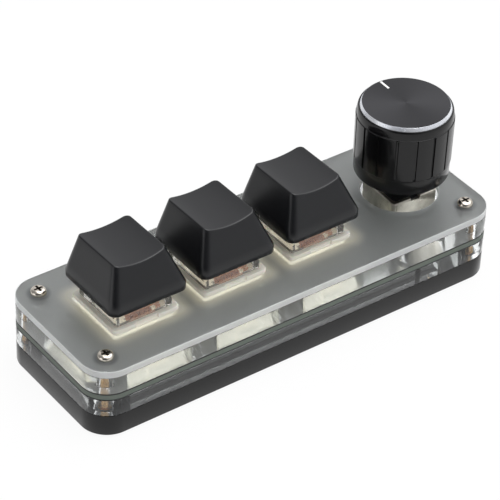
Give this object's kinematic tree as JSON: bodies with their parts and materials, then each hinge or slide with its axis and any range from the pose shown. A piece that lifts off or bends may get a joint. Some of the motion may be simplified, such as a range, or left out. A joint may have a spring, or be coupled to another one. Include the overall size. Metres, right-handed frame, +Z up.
{
  "type": "macro keypad",
  "caption": "Small desk keypad of stacked acrylic plates with sculpted keys in a row and a push-and-turn knob at the right end.",
  "frame": {"origin": "centre of the footprint on the desk, at the underside of the rubber feet", "axes": "+X along the row from the keys to the knob, +Y to the rear where the socket is, +Z up"},
  "size_m": [0.1, 0.034, 0.0383],
  "materials": {
    "black_rubber": "matt",
    "black_acrylic": "satin",
    "clear_acrylic": "polished, clear",
    "frosted_acrylic": "sanded, translucent",
    "board_laminate": "satin",
    "nickel_plated_steel": "bright",
    "brass": "turned",
    "chip_moulding": "matt",
    "component_ceramic": "matt",
    "lamp_resin": "glossy",
    "white_plastic": "satin",
    "clear_plastic": "polished, clear",
    "copper_alloy": "rolled strip",
    "brown_plastic": "satin",
    "spring_steel": "drawn wire",
    "black_keycap_plastic": "fine texture",
    "teal_plastic": "satin",
    "tinned_steel": "rolled sheet",
    "dark_die_cast": "matt",
    "turned_aluminium": "turned",
    "black_knob_plastic": "satin",
    "black_aluminium": "anodised, concentric brushing",
    "white_paint": "matt"
  },
  "bodies": {
    "case": {"rubber_feet": "black_rubber", "base_plate": "black_acrylic", "threaded_inserts": "brass", "lower_frame": "clear_acrylic", "circuit_board": "board_laminate", "upper_frame": "clear_acrylic", "top_plate": "frosted_acrylic", "case_screws": "nickel_plated_steel", "controller_chip": "chip_moulding", "clock_crystal": "nickel_plated_steel", "voltage_regulator": "chip_moulding", "board_passives": "component_ceramic", "key_leds": "lamp_resin", "usb_shell": "nickel_plated_steel", "usb_tongue": "chip_moulding", "encoder_base": "teal_plastic", "encoder_can": "tinned_steel", "encoder_bushing": "dark_die_cast", "encoder_terminals": "tinned_steel", "encoder_dome": "spring_steel", "switch_1_lower_housing": "white_plastic", "switch_1_upper_housing": "clear_plastic", "switch_1_contacts": "copper_alloy", "switch_2_lower_housing": "white_plastic", "switch_2_upper_housing": "clear_plastic", "switch_2_contacts": "copper_alloy", "switch_3_lower_housing": "white_plastic", "switch_3_upper_housing": "clear_plastic", "switch_3_contacts": "copper_alloy"},
    "key_1": {"key_1_cap": "black_keycap_plastic", "key_1_stem": "brown_plastic", "key_1_spring": "spring_steel"},
    "key_2": {"key_2_cap": "black_keycap_plastic", "key_2_stem": "brown_plastic", "key_2_spring": "spring_steel"},
    "key_3": {"key_3_cap": "black_keycap_plastic", "key_3_stem": "brown_plastic", "key_3_spring": "spring_steel"},
    "push_slider": {"encoder_plunger": "white_plastic"},
    "knob": {"knob_body": "black_knob_plastic", "knob_cap": "black_aluminium", "knob_pointer": "white_paint", "encoder_shaft": "turned_aluminium"},
    "rotor": {"encoder_rotor": "white_plastic"}
  },
  "joints": [
    {"name": "key_1_press", "type": "slide", "parent": "case", "child": "key_1", "axis": [0, 0, -1], "range_m": [0, 0.004], "stiffness_N_per_m": 65, "springref_m": -0.005, "deforming": ["key_1_spring"]},
    {"name": "key_2_press", "type": "slide", "parent": "case", "child": "key_2", "axis": [0, 0, -1], "range_m": [0, 0.004], "stiffness_N_per_m": 65, "springref_m": -0.005, "deforming": ["key_2_spring"]},
    {"name": "key_3_press", "type": "slide", "parent": "case", "child": "key_3", "axis": [0, 0, -1], "range_m": [0, 0.004], "stiffness_N_per_m": 65, "springref_m": -0.005, "deforming": ["key_3_spring"]},
    {"name": "knob_push", "type": "slide", "parent": "case", "child": "push_slider", "axis": [0, 0, -1], "range_m": [0, 0.0005], "stiffness_N_per_m": 3000, "springref_m": -0.0005, "deforming": ["encoder_dome"]},
    {"name": "knob_turn", "type": "hinge", "parent": "push_slider", "child": "knob", "pos_m": [0.037, 0, 0.0305], "axis": [0, 0, 1], "continuous": true},
    {"name": "rotor_turn", "type": "hinge", "parent": "case", "child": "rotor", "pos_m": [0.037, 0, 0.014], "axis": [0, 0, 1], "continuous": true}
  ],
  "couplings": [
    {"joint": "rotor_turn", "follows": "knob_turn", "ratio": 1}
  ]
}
